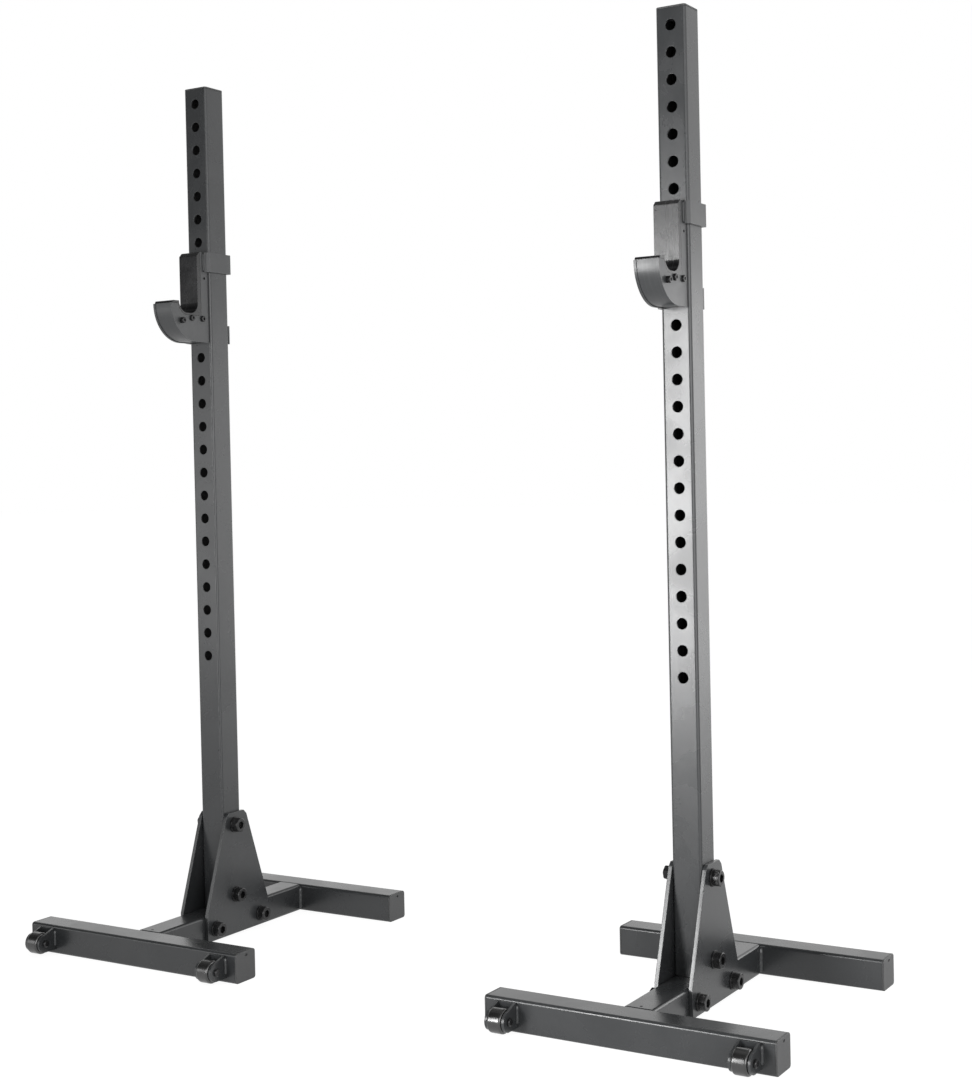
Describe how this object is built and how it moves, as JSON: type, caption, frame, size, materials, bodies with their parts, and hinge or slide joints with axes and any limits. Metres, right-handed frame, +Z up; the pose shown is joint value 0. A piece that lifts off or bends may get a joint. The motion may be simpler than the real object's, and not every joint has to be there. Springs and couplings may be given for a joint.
{
  "type": "squat stand",
  "caption": "Free-standing squat stands: square-tube uprights with pin holes on H-shaped bases, gusset plates, twist-in bar hooks with plastic liners, and front rollers",
  "frame": {"origin": "on the floor, under the middle of the pair's outer box", "axes": "X runs along the bar that the hooks carry, from the left stand to the right stand; Y runs from the front, where the hooks and rollers are, to the back; Z is up"},
  "size_m": [1.697, 0.6458, 1.85],
  "materials": {
    "frame_paint": "satin charcoal powder coat",
    "hook_paint": "satin charcoal powder coat",
    "black_steel": "black oxide steel",
    "cap_plastic": "moulded dark grey plastic",
    "liner_plastic": "smooth black plastic",
    "roller_plastic": "glossy black plastic"
  },
  "bodies": {
    "frame": {"left_upright": "frame_paint", "left_upright_cap": "cap_plastic", "left_base_front_tube": "frame_paint", "left_base_centre_tube": "frame_paint", "left_base_rear_tube": "frame_paint", "left_cap_front_left": "cap_plastic", "left_cap_front_right": "cap_plastic", "left_cap_rear_left": "cap_plastic", "left_cap_rear_right": "cap_plastic", "left_gusset_left": "frame_paint", "left_gusset_right": "frame_paint", "left_bolt_top": "black_steel", "left_bolt_middle": "black_steel", "left_bolt_front": "black_steel", "left_bolt_rear": "black_steel", "left_nut_top": "black_steel", "left_nut_middle": "black_steel", "left_nut_front": "black_steel", "left_nut_rear": "black_steel", "left_roller_bracket_left": "frame_paint", "left_roller_bracket_right": "frame_paint", "left_roller_axle_left": "black_steel", "left_roller_axle_right": "black_steel", "right_upright": "frame_paint", "right_upright_cap": "cap_plastic", "right_base_front_tube": "frame_paint", "right_base_centre_tube": "frame_paint", "right_base_rear_tube": "frame_paint", "right_cap_front_left": "cap_plastic", "right_cap_front_right": "cap_plastic", "right_cap_rear_left": "cap_plastic", "right_cap_rear_right": "cap_plastic", "right_gusset_left": "frame_paint", "right_gusset_right": "frame_paint", "right_bolt_top": "black_steel", "right_bolt_middle": "black_steel", "right_bolt_front": "black_steel", "right_bolt_rear": "black_steel", "right_nut_top": "black_steel", "right_nut_middle": "black_steel", "right_nut_front": "black_steel", "right_nut_rear": "black_steel", "right_roller_bracket_left": "frame_paint", "right_roller_bracket_right": "frame_paint", "right_roller_axle_left": "black_steel", "right_roller_axle_right": "black_steel"},
    "left_hook": {"left_hook_bracket": "hook_paint", "left_hook_liner": "liner_plastic", "left_hook_screw_front": "black_steel", "left_hook_screw_middle": "black_steel", "left_hook_screw_rear": "black_steel"},
    "right_hook": {"right_hook_bracket": "hook_paint", "right_hook_liner": "liner_plastic", "right_hook_screw_front": "black_steel", "right_hook_screw_middle": "black_steel", "right_hook_screw_rear": "black_steel"},
    "left_stand_left_roller": {"left_roller_left": "roller_plastic"},
    "left_stand_right_roller": {"left_roller_right": "roller_plastic"},
    "right_stand_left_roller": {"right_roller_left": "roller_plastic"},
    "right_stand_right_roller": {"right_roller_right": "roller_plastic"}
  },
  "joints": [
    {"name": "left_hook_twist", "type": "hinge", "parent": "frame", "child": "left_hook", "pos_m": [-0.568, 0.0254, 1.415], "axis": [0, 1, 0], "range_deg": [0, 90]},
    {"name": "right_hook_twist", "type": "hinge", "parent": "frame", "child": "right_hook", "pos_m": [0.568, 0.0254, 1.415], "axis": [0, 1, 0], "range_deg": [0, 90]},
    {"name": "left_stand_left_roller_spin", "type": "hinge", "parent": "frame", "child": "left_stand_left_roller", "pos_m": [-0.801, -0.3004, 0.028], "axis": [1, 0, 0], "continuous": true},
    {"name": "left_stand_right_roller_spin", "type": "hinge", "parent": "frame", "child": "left_stand_right_roller", "pos_m": [-0.335, -0.3004, 0.028], "axis": [1, 0, 0], "continuous": true},
    {"name": "right_stand_left_roller_spin", "type": "hinge", "parent": "frame", "child": "right_stand_left_roller", "pos_m": [0.335, -0.3004, 0.028], "axis": [1, 0, 0], "continuous": true},
    {"name": "right_stand_right_roller_spin", "type": "hinge", "parent": "frame", "child": "right_stand_right_roller", "pos_m": [0.801, -0.3004, 0.028], "axis": [1, 0, 0], "continuous": true}
  ]
}
